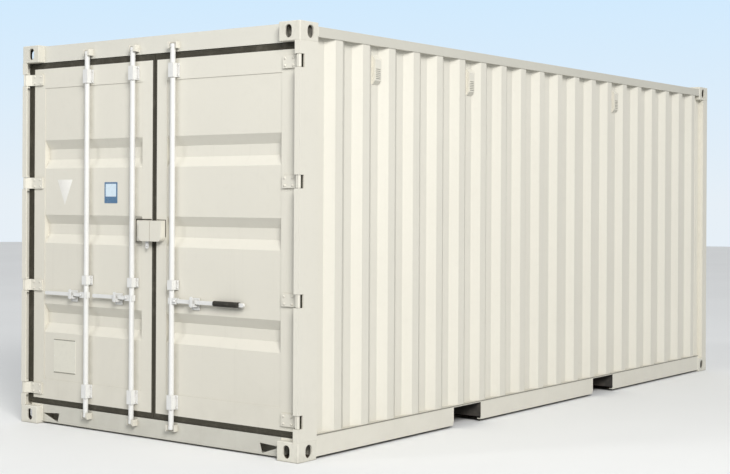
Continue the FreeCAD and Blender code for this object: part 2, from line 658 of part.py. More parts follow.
def retainer(x):
    """A plate on the leaf with a ledge and a low lip that cradle the handle."""
    z = HANDLE_HEIGHT
    plate = box(x - 32, x + 32, LEAF_Y0 - 5, LEAF_Y0, z - 50, z + 25)
    ledge = box(x - 22, x + 22, ROD_Y - 12, LEAF_Y0, z - 28, z - 19)
    lip = box(x - 22, x + 22, ROD_Y - 18, ROD_Y - 12, z - 28, z - 7)
    pin = cylinder(CATCH_PIN_RADIUS, V(x, ROD_Y - CATCH_DEPTH, z - CATCH_DROP), V(0, 1, 0), 6)
    return fuse([plate, ledge, lip, pin])


def catch(x):
    """A plate that stands in front of the handle and swings aside on its pin."""
    y0, t = ROD_Y - CATCH_DEPTH, CATCH_PLATE
    z = HANDLE_HEIGHT - CATCH_DROP
    arm = box(x - 10, x + 10, y0, y0 + t, z, z + CATCH_LENGTH)
    foot = cylinder(10.0, V(x, y0, z), V(0, 1, 0), t)
    knob = cylinder(13.0, V(x, y0, z + CATCH_LENGTH), V(0, 1, 0), t)
    bore = cylinder(CATCH_PIN_RADIUS + 0.3, V(x, y0, z), V(0, 1, 0), t)
    return fuse([arm, foot, knob]).cut(bore)


def guide(x, z, height):
    """A block on the leaf that the rod turns in."""
    z0, z1 = z - height / 2, z + height / 2
    block = box(x - GUIDE_BLOCK, x + GUIDE_BLOCK, ROD_Y - 21, LEAF_Y0, z0, z1)
    plate = box(x - GUIDE_PLATE, x + GUIDE_PLATE, LEAF_Y0 - 5, LEAF_Y0, z0, z1)
    bore = cylinder(ROD_RADIUS + 1.0, V(x, ROD_Y, z - height), V(0, 0, 1), 2 * height)
    return fuse([block, plate]).cut(bore)


def lock_gear():
    keepers = []
    retainers = {-1: [], 1: []}
    guides = {-1: [], 1: []}
    for name, x in ROD_X.items():
        side = toward_handle(name)
        door = 1 if x > 0 else -1
        foot_z, head_z = ROD_FOOT + CAM_HEIGHT, ROD_TOP - CAM_HEIGHT
        keepers.append(keeper(x, -side, ROD_FOOT - 4, foot_z + 8, ROD_FOOT - 12))
        keepers.append(keeper(x, -side, head_z - 8, ROD_TOP + 4, ROD_TOP + 6))
        save(name + "_lock_rod", [lock_rod(x, side)])
        bar = handle(x, side, HANDLE_LENGTH[name])
        save(name + "_handle", [bar])
        hold = x + side * RETAINER_OFFSET[name]
        retainers[door].append(retainer(hold))
        save(name + "_handle_catch", [catch(hold)])
        guides[door] += [guide(x, z, height) for z, height in GUIDES]
        if name == "inner_right":
            save("handle_grip", [handle_grip(bar)])
    save("cam_keepers", keepers)
    for door, word in ((-1, "left"), (1, "right")):
        save(word + "_door_rod_guides", guides[door])
        save(word + "_door_handle_retainers", retainers[door])


def lock_box_outline(inset):
    """Front outline of the box's right half, with a rounded lower corner."""
    x0, x1 = LOCK_BOX_GAP, LOCK_BOX_HALF_WIDTH - inset
    z0, z1 = LOCK_BOX_FOOT + inset, LOCK_BOX_TOP - inset
    radius = LOCK_BOX_CORNER - inset
    steps = [math.radians(15 * i) for i in range(7)]
    corner = [(x1 - radius + radius * math.sin(a), z0 + radius - radius * math.cos(a)) for a in steps]
    return [(x0, z0)] + corner + [(x1, z1), (x0, z1)]


def lock_box():
    """Right half of the box that hides the padlock; it is open below and towards the middle."""
    y0 = DOOR_END + 5
    x0, t = LOCK_BOX_GAP, LOCK_BOX_PLATE
    whole = lengthwise(lock_box_outline(0), y0, LEAF_Y0)
    inside = lengthwise(lock_box_outline(t), y0 + t, LEAF_Y0)
    mouth = box(x0, LOCK_BOX_HALF_WIDTH - LOCK_BOX_CORNER, y0 + t, LEAF_Y0, LOCK_BOX_FOOT,
                LOCK_BOX_TOP - t)
    between = box(x0, LEAF_X0 + 5, y0 + 30, LEAF_Y0, LOCK_BOX_FOOT, LOCK_BOX_TOP)
    half = whole.cut([inside, mouth, between])
    save("right_lock_box", [half])
    near, far = LOCK_BOX_BRACKET
    bracket = box(near, far, LEAF_Y0 - 8, LEAF_Y0, LOCK_BOX_FOOT, LOCK_BOX_TOP)
    save("left_lock_box", [other_side(half), other_side(bracket)])


os.makedirs("parts", exist_ok=True)
castings()
posts()
side_rails()
end_rails()
walls()
vents()
roof()
floor()
hinges()
leaves()
lock_gear()
lock_box()
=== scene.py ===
"""The looks of a twenty-foot container: paint, rubber, zinc, plywood and small fittings, in metres.

X runs across the container, Y along it (doors at -Y) and Z up.
"""
import json
import math

import bmesh
import bpy
from mathutils import Matrix, Vector


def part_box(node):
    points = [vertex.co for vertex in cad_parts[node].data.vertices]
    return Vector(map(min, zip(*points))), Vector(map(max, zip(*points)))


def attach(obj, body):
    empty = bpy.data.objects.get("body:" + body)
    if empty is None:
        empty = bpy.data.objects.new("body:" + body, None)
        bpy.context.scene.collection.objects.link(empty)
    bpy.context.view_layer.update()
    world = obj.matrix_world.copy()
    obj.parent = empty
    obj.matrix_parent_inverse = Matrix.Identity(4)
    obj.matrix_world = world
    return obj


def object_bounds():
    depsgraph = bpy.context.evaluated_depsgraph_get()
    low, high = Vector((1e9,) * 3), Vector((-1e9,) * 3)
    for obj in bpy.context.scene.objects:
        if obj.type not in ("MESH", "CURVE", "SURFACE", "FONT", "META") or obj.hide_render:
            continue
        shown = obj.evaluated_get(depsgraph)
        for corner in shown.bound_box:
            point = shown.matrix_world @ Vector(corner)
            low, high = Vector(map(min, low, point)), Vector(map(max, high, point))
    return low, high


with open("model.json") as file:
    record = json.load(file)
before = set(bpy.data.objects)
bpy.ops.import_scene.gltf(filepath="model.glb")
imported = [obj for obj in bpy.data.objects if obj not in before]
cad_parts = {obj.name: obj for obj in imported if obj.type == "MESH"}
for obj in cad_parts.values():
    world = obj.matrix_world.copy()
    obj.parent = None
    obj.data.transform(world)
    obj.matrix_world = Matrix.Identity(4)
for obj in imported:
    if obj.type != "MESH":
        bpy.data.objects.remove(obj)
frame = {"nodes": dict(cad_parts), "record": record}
CAD_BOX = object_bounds()
NODES = frame["nodes"]
LOW, HIGH = Vector(CAD_BOX[0]), Vector(CAD_BOX[1])
CASTING_WIDTH, CASTING_LENGTH, CASTING_HEIGHT = 0.162, 0.178, 0.118


# ---------------------------------------------------------------- node materials

class Maker:
    """A node material under construction."""

    def __init__(self, name):
        self.material = bpy.data.materials.new(name)
        self.material.use_nodes = True
        self.tree = self.material.node_tree
        self.tree.nodes.clear()
        self.output = self.add("ShaderNodeOutputMaterial")
        self.shader = self.add("ShaderNodeBsdfPrincipled")
        self.join(self.shader.outputs[0], self.output.inputs["Surface"])
        self.place = self.add("ShaderNodeTexCoord").outputs["Object"]

    def add(self, kind, **settings):
        node = self.tree.nodes.new(kind)
        for key, value in settings.items():
            setattr(node, key, value)
        return node

    def join(self, source, target):
        self.tree.links.new(source, target)

    def feed(self, socket, value):
        """Link a socket, or set it to a plain value."""
        if isinstance(value, bpy.types.NodeSocket):
            self.join(value, socket)
        else:
            socket.default_value = value

    def scaled(self, scale):
        """Object coordinates, stretched."""
        node = self.add("ShaderNodeMapping")
        self.join(self.place, node.inputs["Vector"])
        node.inputs["Scale"].default_value = scale
        return node.outputs[0]

    def noise(self, size, detail=3.0, rough=0.5, vector=None, distortion=0.0):
        """Noise whose features are about size metres across."""
        node = self.add("ShaderNodeTexNoise")
        self.join(vector or self.place, node.inputs["Vector"])
        node.inputs["Scale"].default_value = 1.0 / size
        node.inputs["Detail"].default_value = detail
        node.inputs["Roughness"].default_value = rough
        node.inputs["Distortion"].default_value = distortion
        return node.outputs["Fac"]

    def cells(self, size, feature="F1"):
        node = self.add("ShaderNodeTexVoronoi", feature=feature)
        self.join(self.place, node.inputs["Vector"])
        node.inputs["Scale"].default_value = 1.0 / size
        return node.outputs["Distance"]

    def height(self):
        node = self.add("ShaderNodeSeparateXYZ")
        self.join(self.place, node.inputs[0])
        return node.outputs["Z"]

    def facing_up(self):
        """Z of the surface normal."""
        node = self.add("ShaderNodeSeparateXYZ")
        self.join(self.add("ShaderNodeNewGeometry").outputs["Normal"], node.inputs[0])
        return node.outputs["Z"]

    def depth_in_casting(self):
        """Distance in from the nearest face of the corner casting's block, in metres."""
        node = self.add("ShaderNodeSeparateXYZ")
        self.join(self.place, node.inputs[0])
        x, y, z = node.outputs
        across = self.maths("SUBTRACT", HIGH.x, self.maths("ABSOLUTE", x, 0.0))
        along = self.maths("SUBTRACT", HIGH.y, self.maths("ABSOLUTE", y, 0.0))
        upright = self.maths("MINIMUM", z, self.maths("SUBTRACT", HIGH.z, z))
        nearest = []
        for depth, size in ((across, CASTING_WIDTH), (along, CASTING_LENGTH), (upright, CASTING_HEIGHT)):
            nearest.append(self.maths("MINIMUM", depth, self.maths("SUBTRACT", size, depth)))
        return self.maths("MINIMUM", self.maths("MINIMUM", nearest[0], nearest[1]), nearest[2])

    def span(self, value, low, high, to_low=0.0, to_high=1.0):
        """Map low..high to to_low..to_high, clamped."""
        node = self.add("ShaderNodeMapRange", interpolation_type="SMOOTHSTEP")
        self.feed(node.inputs["Value"], value)
        for key, number in (("From Min", low), ("From Max", high), ("To Min", to_low),
                            ("To Max", to_high)):
            node.inputs[key].default_value = number
        return node.outputs[0]

    def maths(self, operation, a, b):
        node = self.add("ShaderNodeMath", operation=operation, use_clamp=False)
        self.feed(node.inputs[0], a)
        self.feed(node.inputs[1], b)
        return node.outputs[0]

    def blend(self, factor, a, b, mode="MIX"):
        node = self.add("ShaderNodeMix", data_type="RGBA", blend_type=mode)
        self.feed(node.inputs[0], factor)
        self.feed(node.inputs[6], a)
        self.feed(node.inputs[7], b)
        return node.outputs[2]

    def bump(self, height, depth, strength=1.0, normal=None):
        node = self.add("ShaderNodeBump")
        self.feed(node.inputs["Height"], height)
        node.inputs["Distance"].default_value = depth
        node.inputs["Strength"].default_value = strength
        if normal is not None:
            self.join(normal, node.inputs["Normal"])
        return node.outputs[0]

    def crevice_dirt_and_shade(self, distance):
        """1 in corners and gaps, 0 in the open; used to paint shade, with some dirt, into corners."""
        node = self.add("ShaderNodeAmbientOcclusion", samples=6)
        node.inputs["Distance"].default_value = distance
        return self.span(node.outputs["AO"], 0.35, 0.95, 1.0, 0.0)

    def finish(self, colour, roughness, normal, **constants):
        self.feed(self.shader.inputs["Base Color"], colour)
        self.feed(self.shader.inputs["Roughness"], roughness)
        if normal is not None:
            self.join(normal, self.shader.inputs["Normal"])
        for key, value in constants.items():
            self.shader.inputs[key.replace("_", " ")].default_value = value
        return self.material


def rgb(r, g, b):
    return (r, g, b, 1.0)


RUST = rgb(0.13, 0.055, 0.025)
# A dirt colour, also used to paint shade towards the foot of surfaces and in corners.
DIRT_AND_SHADE = rgb(0.34, 0.31, 0.25)


def paint(name, colour, grime_and_shade=0.30, streaks=0.05, chips=0.0, dents=0.0015, foot=0.05):
    """Chalky container paint: faint clouds, thin runs of dirt, splashes low down, dusty top faces and a
    few chips; painted shade darkens it towards the bottom, and painted shade with dirt darkens its
    corners.
    """
    m = Maker(name)
    cloud = m.noise(0.9, 5.0, 0.55)
    darker, paler = (rgb(*(c * factor for c in colour[:3])) for factor in (0.985, 1.012))
    tone = m.blend(m.span(cloud, 0.3, 0.7), darker, paler)
    fine = m.noise(0.05, 6.0, 0.6)
    tone = m.blend(m.span(fine, 0.50, 0.80, 0.0, 0.04), tone, DIRT_AND_SHADE)
    run = m.noise(1.0, 4.0, 0.6, m.scaled((26.0, 26.0, 0.7)))
    tone = m.blend(m.span(run, 0.55, 0.78, 0.0, streaks), tone, DIRT_AND_SHADE)
    # Painted shade: darker towards the bottom, standing in for light that falls from above.
    tone = m.blend(m.span(m.height(), 2.4, 0.1, 0.0, foot), tone, DIRT_AND_SHADE)
    splash = m.span(m.noise(0.25, 6.0, 0.65), 0.35, 0.7)
    low = m.maths("MULTIPLY", m.span(m.height(), 0.55, 0.05), splash)
    tone = m.blend(m.maths("MULTIPLY", low, grime_and_shade * 0.4), tone, DIRT_AND_SHADE)
    settled = m.span(cloud, 0.3, 0.75, 0.12, 0.42)
    tone = m.blend(m.maths("MULTIPLY", m.span(m.facing_up(), 0.75, 0.98), settled), tone, DIRT_AND_SHADE)
    # Painted shade with some dirt: darker in corners and gaps.
    corner = m.maths("MULTIPLY", m.crevice_dirt_and_shade(0.035), m.span(fine, 0.25, 0.6, 0.35, 1.0))
    tone = m.blend(m.maths("MULTIPLY", corner, grime_and_shade), tone, DIRT_AND_SHADE)
    if chips:
        spots = m.span(m.noise(0.018, 4.0, 0.7), 0.70, 0.72)
        where = m.span(m.noise(0.35, 2.0, 0.5), 0.66 - chips * 0.2, 0.72)
        tone = m.blend(m.maths("MULTIPLY", spots, where), tone, RUST)
    rough = m.span(m.noise(0.12, 5.0, 0.6), 0.3, 0.7, 0.46, 0.58)
    skin = m.bump(m.noise(0.0045, 2.0, 0.5), 0.00018, 0.35)
    waves = m.bump(m.noise(0.33, 2.0, 0.45), dents, 0.6, skin)
    return m.finish(tone, rough, waves, Specular_IOR_Level=0.35)


def casting_paint(name, colour):
    """Thick paint on cast steel with dirt and rust spots; painted shade and dirt in its corners, and rust
    with painted shade makes it nearly black deep in the holes.
    """
    m = Maker(name)
    pits = m.noise(0.007, 4.0, 0.6)
    tone = m.blend(m.span(m.noise(0.06, 5.0, 0.6), 0.45, 0.8, 0.0, 0.22), colour, DIRT_AND_SHADE)
    spots = m.span(m.noise(0.014, 4.0, 0.7), 0.68, 0.71)
    where = m.span(m.noise(0.09, 2.0, 0.5), 0.52, 0.66)
    tone = m.blend(m.maths("MULTIPLY", spots, where), tone, RUST)
    # Painted shade and dirt in corners.
    tone = m.blend(m.maths("MULTIPLY", m.crevice_dirt_and_shade(0.03), 0.25), tone, DIRT_AND_SHADE)
    # Deep in the holes: rust and painted shade, nearly black.
    rust_and_shade_deep = m.blend(m.span(pits, 0.4, 0.7), rgb(0.035, 0.028, 0.022), rgb(0.085, 0.06, 0.042))
    tone = m.blend(m.span(m.depth_in_casting(), 0.007, 0.016), tone, rust_and_shade_deep)
    rough = m.span(pits, 0.3, 0.7, 0.5, 0.7)
    cast_skin = m.bump(m.noise(0.04, 3.0, 0.5), 0.0015, 0.6, m.bump(pits, 0.0006, 0.5))
    return m.finish(tone, rough, cast_skin, Specular_IOR_Level=0.3)


def zinc(name):
    """Bright hot-dip zinc: pale spangle, dull patches, and a little dirt with painted shade in corners."""
    m = Maker(name)
    spangle = m.span(m.cells(0.012), 0.0, 0.8)
    tone = m.blend(m.maths("MULTIPLY", spangle, 0.20), rgb(0.83, 0.83, 0.815), rgb(0.68, 0.69, 0.69))
    dull = m.span(m.noise(0.11, 5.0, 0.6), 0.45, 0.75)
    tone = m.blend(m.maths("MULTIPLY", dull, 0.25), tone, rgb(0.78, 0.77, 0.73))
    # Painted shade and a little dirt in corners.
    tone = m.blend(m.maths("MULTIPLY", m.crevice_dirt_and_shade(0.02), 0.40), tone, DIRT_AND_SHADE)
    rough = m.span(m.noise(0.05, 4.0, 0.6), 0.3, 0.7, 0.36, 0.50)
    return m.finish(tone, rough, m.bump(m.noise(0.006, 3.0, 0.6), 0.0002, 0.4), Metallic=0.1)


def rubber(name, colour):
    """Matt extruded rubber with dust and a fine grain."""
    m = Maker(name)
    dust = m.span(m.noise(0.07, 6.0, 0.65), 0.45, 0.75, 0.0, 0.22)
    tone = m.blend(dust, colour, rgb(0.22, 0.20, 0.16))
    rough = m.span(m.noise(0.03, 4.0, 0.6), 0.3, 0.7, 0.55, 0.78)
    return m.finish(tone, rough, m.bump(m.noise(0.003, 3.0, 0.5), 0.0004, 0.5), Specular_IOR_Level=0.35)


def plywood(name):
    """Worn floor boards that run lengthwise: long grain, dark joints and scuffs."""
    m = Maker(name)
    grain = m.noise(0.012, 5.0, 0.6, m.scaled((1.0, 0.06, 1.0)), 0.6)
    tone = m.blend(m.span(grain, 0.3, 0.7), rgb(0.20, 0.115, 0.06), rgb(0.36, 0.225, 0.125))
    scuff = m.noise(0.3, 6.0, 0.7, m.scaled((1.0, 0.3, 1.0)))
    tone = m.blend(m.span(scuff, 0.5, 0.75, 0.0, 0.5), tone, rgb(0.27, 0.235, 0.19))
    turned = m.add("ShaderNodeMapping")
    m.join(m.place, turned.inputs["Vector"])
    turned.inputs["Rotation"].default_value = (0.0, 0.0, math.pi / 2)
    boards = m.add("ShaderNodeTexBrick")
    m.join(turned.outputs[0], boards.inputs["Vector"])
    for key, number in (("Scale", 1.0), ("Mortar Size", 0.002), ("Mortar Smooth", 0.3),
                        ("Brick Width", 2.4), ("Row Height", 0.29)):
        boards.inputs[key].default_value = number
    joint = boards.outputs["Fac"]
    tone = m.blend(joint, tone, rgb(0.045, 0.032, 0.022))
    rough = m.span(scuff, 0.3, 0.7, 0.5, 0.75)
    dip = m.bump(m.maths("SUBTRACT", 1.0, joint), 0.002, 0.8)
    return m.finish(tone, rough, m.bump(grain, 0.0006, 0.6, dip))


def bitumen(name):
    """Dull black underframe coat with road dust."""
    m = Maker(name)
    dust = m.span(m.noise(0.2, 6.0, 0.7), 0.4, 0.75, 0.05, 0.6)
    tone = m.blend(dust, rgb(0.035, 0.033, 0.03), rgb(0.16, 0.14, 0.115))
    rough = m.span(m.noise(0.06, 4.0, 0.6), 0.3, 0.7, 0.6, 0.85)
    return m.finish(tone, rough, m.bump(m.noise(0.02, 4.0, 0.6), 0.0015, 0.5))


def film(name, colour, gloss=0.35):
    """Printed film or enamelled sheet with fine scuffs and a little dust."""
    m = Maker(name)
    dust = m.span(m.noise(0.03, 6.0, 0.65), 0.45, 0.8, 0.0, 0.18)
    tone = m.blend(dust, colour, rgb(0.55, 0.53, 0.47))
    rough = m.span(m.noise(0.02, 4.0, 0.6), 0.3, 0.7, gloss, gloss + 0.15)
    return m.finish(tone, rough, m.bump(m.noise(0.004, 3.0, 0.5), 0.0001, 0.3))


CREAM = rgb(0.772, 0.747, 0.664)
MATERIALS = {
    "frame_paint": paint("frame_paint", CREAM, 0.18, 0.03, 0.10, 0.0008, 0.02),
    "wall_paint": paint("wall_paint", CREAM, 0.18, 0.05, 0.0, 0.0018),
    "door_paint": paint("door_paint", CREAM, 0.28, 0.05, 0.0, 0.0012, 0.14),
    "casting_paint": casting_paint("casting_paint", rgb(0.735, 0.712, 0.63)),
    "underframe_paint": bitumen("underframe_paint"),
    "galvanised": zinc("galvanised"),
    "door_rubber": rubber("door_rubber", rgb(0.055, 0.050, 0.036)),
    "grip_rubber": rubber("grip_rubber", rgb(0.030, 0.027, 0.022)),
    "plywood": plywood("plywood"),
}
# The sill, header and top rails get darker copies of the frame paint: painted shade.
SHADED = {
    "door_sill": paint("sill_paint_shaded", rgb(0.61, 0.598, 0.535), 0.40, 0.06, 0.12, 0.0010, 0.0),
    "door_header": paint("header_paint_shaded", rgb(0.735, 0.718, 0.645), 0.30, 0.04, 0.10, 0.0010, 0.0),
    "top_side_rails": paint("rail_paint_shaded", rgb(0.645, 0.63, 0.56), 0.30, 0.03, 0.10, 0.0008, 0.0),
}
SEALANT = film("sealant", rgb(0.26, 0.25, 0.21), 0.45)
WALL_SEALANT = film("wall_sealant", rgb(0.58, 0.56, 0.49), 0.45)
PALE_FILM = film("pale_film", rgb(0.90, 0.885, 0.84))
PLATE_FACE = film("plate_face", rgb(0.75, 0.73, 0.64), 0.3)
BLUE_ENAMEL = film("blue_enamel", rgb(0.10, 0.20, 0.34), 0.25)
ICE_ENAMEL = film("ice_enamel", rgb(0.70, 0.83, 0.93), 0.25)
# The dark colour of thin strips that paint the shade in the vents' openings.
VENT_SLOT_SHADE = film("vent_opening_shade", rgb(0.38, 0.37, 0.32), 0.6)


def dress_nodes():
    """Give every CAD node the material of its slot, or a darker copy of its paint that paints shade."""
    for entry in frame["record"]["subparts"]:
        mesh = NODES[entry["node"]].data
        mesh.materials.clear()
        mesh.materials.append(SHADED.get(entry["node"]) or MATERIALS[entry["material_slot"]])


# ---------------------------------------------------------------- mesh tools

def loft(bm, rings):
    """A closed skin through rings of points, with both ends filled."""
    rows = [[bm.verts.new(point) for point in ring] for ring in rings]
    count = len(rows[0])
    for low, high in zip(rows, rows[1:]):
        for i in range(count):
            j = (i + 1) % count
            bm.faces.new((low[i], low[j], high[j], high[i]))
    bm.faces.new(list(reversed(rows[0])))
    bm.faces.new(rows[-1])


def turned(bm, centre, normal, profile, sides, turn=0.0):
    """A turned shape: (radius, height) pairs round a normal."""
    basis = Vector(normal).to_track_quat("Z", "Y").to_matrix()
    angles = [turn + 2 * math.pi * i / sides for i in range(sides)]
    rings = []
    for radius, height in profile:
        rings.append([Vector(centre) + basis @ Vector((radius * math.cos(a), radius * math.sin(a), height))
                      for a in angles])
    loft(bm, rings)


def hex_bolt(bm, centre, normal, size=0.0068):
    """A washer and a chamfered six-sided head; size is the head's half width."""
    turned(bm, centre, normal, [(size * 1.35, -0.001), (size * 1.35, 0.0010), (size * 1.22, 0.0016)], 16)
    turned(bm, centre, normal, [(size, 0.0012), (size, size * 0.62), (size * 0.84, size * 0.72)], 6, 0.4)


def rivet(bm, centre, normal, size=0.004):
    """A low dome."""
    turned(bm, centre, normal, [(size, -0.0008), (size, size * 0.12), (size * 0.86, size * 0.34),
                                (size * 0.55, size * 0.50), (size * 0.18, size * 0.56)], 12)


def bead(bm, path, across, radius, ripple=0.0, step=0.007):
    """A round bead along a line of points; across is square to the whole line."""
    points = [Vector(point) for point in path]
    if ripple:
        fine = [points[0]]
        for a, b in zip(points, points[1:]):
            count = max(1, round((b - a).length / step))
            fine += [a.lerp(b, (i + 1) / count) for i in range(count)]
        points = fine
    side = Vector(across).normalized()
    rings = []
    for i, point in enumerate(points):
        before, after = points[max(0, i - 1)], points[min(len(points) - 1, i + 1)]
        tangent = (after - before).normalized()
        out = side.cross(tangent)
        r = radius * (1.0 - ripple * (i % 2))
        rings.append([point + side * (r * math.cos(a)) + out * (r * math.sin(a))
                      for a in (math.pi * k / 4 for k in range(8))])
    loft(bm, rings)


def rounded(x0, x1, z0, z1, radius, y):
    """A rounded rectangle that faces the doors' side, as points at one y."""
    points = []
    for cx, cz, start in ((x1 - radius, z1 - radius, 0), (x0 + radius, z1 - radius, 90),
                          (x0 + radius, z0 + radius, 180), (x1 - radius, z0 + radius, 270)):
        for step in range(0, 91, 30):
            a = math.radians(start + step)
            points.append(Vector((cx + radius * math.cos(a), y, cz + radius * math.sin(a))))
    return points


def sheet_plate(bm, x0, x1, z0, z1, back, thick, radius=0.006):
    """A thin plate with rounded corners and a softened front edge."""
    edge = thick * 0.4
    front = back - thick
    loft(bm, [rounded(x0, x1, z0, z1, radius, back + 0.0005),
              rounded(x0, x1, z0, z1, radius, front + edge),
              rounded(x0 + edge, x1 - edge, z0 + edge, z1 - edge, radius - edge, front)])


def piece(name, bm, body, material, soft_angle=40.0):
    """Turn a bmesh into a piece that rides on a body."""
    bmesh.ops.recalc_face_normals(bm, faces=bm.faces)
    mesh = bpy.data.meshes.new(name)
    bm.to_mesh(mesh)
    bm.free()
    mesh.shade_smooth()
    mesh.set_sharp_from_angle(angle=math.radians(soft_angle))
    mesh.materials.append(material)
    made = bpy.data.objects.new(name, mesh)
    bpy.context.scene.collection.objects.link(made)
    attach(made, body)
    return made


# ---------------------------------------------------------------- fittings

FRONT, RIGHT, UP = (0.0, -1.0, 0.0), (1.0, 0.0, 0.0), (0.0, 0.0, 1.0)
RODS = ("outer_left", "inner_left", "inner_right")
DOOR_OF = {"outer_left": "left_door", "inner_left": "left_door", "inner_right": "right_door"}
DOORS = {"left_door": -1, "right_door": 1}
LEAF_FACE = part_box("right_door_frame")[0].y
PANEL_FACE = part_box("right_door_panel")[0].y
CASTING_INNER = HIGH.x - CASTING_WIDTH
CASTING_Y = HIGH.y - CASTING_LENGTH

HUB_REACH = 0.050
HANDLE_HEIGHT = 0.9
ROD_GUIDES = ((2.355, 0.090), (1.000, 0.060), (0.260, 0.090))  # middle and height of each plate
RETAINER_OFFSETS = {"outer_left": -0.135, "inner_left": -0.137, "inner_right": 0.185}
BASE_PLATE = 0.005
HINGE_HEIGHTS = (0.238, 0.947, 1.647, 2.356)
HINGE_STRAP = 0.012


def rod_x(name):
    """The rod's middle, worked out from the tip of the hub that carries its handle."""
    low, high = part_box(name + "_lock_rod")
    return high.x - HUB_REACH if name == "inner_right" else low.x + HUB_REACH


def door_bolts():
    """Bolts of the rod guides and the handle retainers, and rivets of the hinge straps."""
    bolts = {door: bmesh.new() for door in DOORS}
    plate_face = LEAF_FACE - BASE_PLATE
    for name in RODS:
        bm, x = bolts[DOOR_OF[name]], rod_x(name)
        for z, height in ROD_GUIDES:
            for sx in (-1, 1):
                for sz in (-1, 1):
                    spot = (x + sx * 0.0290, plate_face, z + sz * (height / 2 - 0.012))
                    hex_bolt(bm, spot, FRONT, 0.0052)
        hold = x + RETAINER_OFFSETS[name]
        for sx in (-1, 1):
            for dz in (-0.041, 0.015):
                hex_bolt(bm, (hold + sx * 0.0265, plate_face, HANDLE_HEIGHT + dz), FRONT, 0.0040)
    for door, sign in DOORS.items():
        straps = bmesh.new()
        for z in HINGE_HEIGHTS:
            for along in (1.137, 1.076):
                for dz in (-0.022, 0.022):
                    rivet(straps, (sign * along, LEAF_FACE - HINGE_STRAP, z + dz), FRONT, 0.0085)
        piece(door + "_bolts", bolts[door], door, MATERIALS["galvanised"])
        piece(door + "_hinge_rivets", straps, door, MATERIALS["door_paint"])


def hub_rivets():
    """Heads of the pivots that join the handles to the rods."""
    for name in RODS:
        bm = bmesh.new()
        handle_side = 1.0 if name == "inner_right" else -1.0
        hub_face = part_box(name + "_lock_rod")[0].y
        rivet(bm, (rod_x(name) + handle_side * 0.036, hub_face, HANDLE_HEIGHT), FRONT, 0.009)
        piece(name + "_hub_rivet", bm, name + "_rod", MATERIALS["galvanised"])


def gasket_ribs():
    """Two fine ribs along the face of each door's seal."""
    for door in DOORS:
        leaf_low, leaf_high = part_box(door + "_frame")
        seal_low, seal_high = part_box(door + "_gasket")
        y = seal_low.y + 0.0004
        bm = bmesh.new()
        for share in (0.35, 0.78):
            low, high = leaf_low.lerp(seal_low, share), leaf_high.lerp(seal_high, share)
            corners = [(low.x, y, low.z), (high.x, y, low.z), (high.x, y, high.z), (low.x, y, high.z)]
            for a, b in zip(corners, corners[1:] + corners[:1]):
                bead(bm, [a, b], FRONT, 0.0018)
        piece(door + "_gasket_ribs", bm, door, MATERIALS["door_rubber"])


EYE_X, EYE_HEIGHT, EYE_TOP = -0.040, 1.236, 1.330
EYE_RADIUS, EYE_HOLE, EYE_THICKNESS = 0.0125, 0.0058, 0.005
EYE_SIDES = 20


def padlock_eye():
    """A flat eye below the lock box, with a round foot and straight sides up into the box."""
    bm = bmesh.new()
    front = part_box("left_lock_box")[0].y + 0.018
    rings = []
    for y, radius in ((front, EYE_RADIUS), (front, EYE_HOLE),
                      (front + EYE_THICKNESS, EYE_HOLE), (front + EYE_THICKNESS, EYE_RADIUS)):
        ring = []
        for i in range(EYE_SIDES):
            a = 2 * math.pi * i / EYE_SIDES
            x, z = radius * math.cos(a), radius * math.sin(a)
            runs_up = radius == EYE_RADIUS and z > 0.2 * EYE_RADIUS
            ring.append(bm.verts.new((EYE_X + x, y, EYE_TOP if runs_up else EYE_HEIGHT + z)))
        rings.append(ring)
    for a, b in zip(rings, rings[1:] + rings[:1]):
        for i in range(EYE_SIDES):
            j = (i + 1) % EYE_SIDES
            bm.faces.new((a[i], a[j], b[j], b[i]))
    piece("padlock_eye", bm, "left_door", MATERIALS["galvanised"])


def lock_box_trim():
    """The lock box's bracket and its bolts, and dark beads that paint the shadow lines at both halves of
    the box.
    """
    foot, head = 1.268, 1.406
    face = LEAF_FACE - 0.0005
    bm = bmesh.new()
    for z in (foot + 0.028, head - 0.028):
        hex_bolt(bm, (-0.131, LEAF_FACE - 0.008, z), FRONT, 0.0062)
    piece("lock_bracket_bolts", bm, "left_door", MATERIALS["galvanised"])
    bm = bmesh.new()
    sheet_plate(bm, -0.178, -0.157, foot, head, LEAF_FACE, 0.004, 0.004)
    piece("lock_bracket", bm, "left_door", MATERIALS["door_paint"])
    # Dark rubber beads paint the shadow lines beside the bracket and along the box's top edge.
    bm = bmesh.new()
    for x in (-0.1790, -0.1590):
        bead(bm, [(x, face, foot - 0.002), (x, face, head + 0.002)], FRONT, 0.0048)
    bead(bm, [(-0.1590, face, head + 0.0035), (-0.024, face, head + 0.0035)], FRONT, 0.0036)
    piece("lock_box_shadow_lines", bm, "left_door", MATERIALS["door_rubber"])
    # A dark rubber bead paints the shadow line down the box's right side and along its top.
    bm = bmesh.new()
    bead(bm, [(0.1010, face, 1.300), (0.1010, face, head + 0.002), (0.024, face, head + 0.0025)],
         FRONT, 0.0026)
    piece("right_lock_box_shadow_lines", bm, "right_door", MATERIALS["door_rubber"])


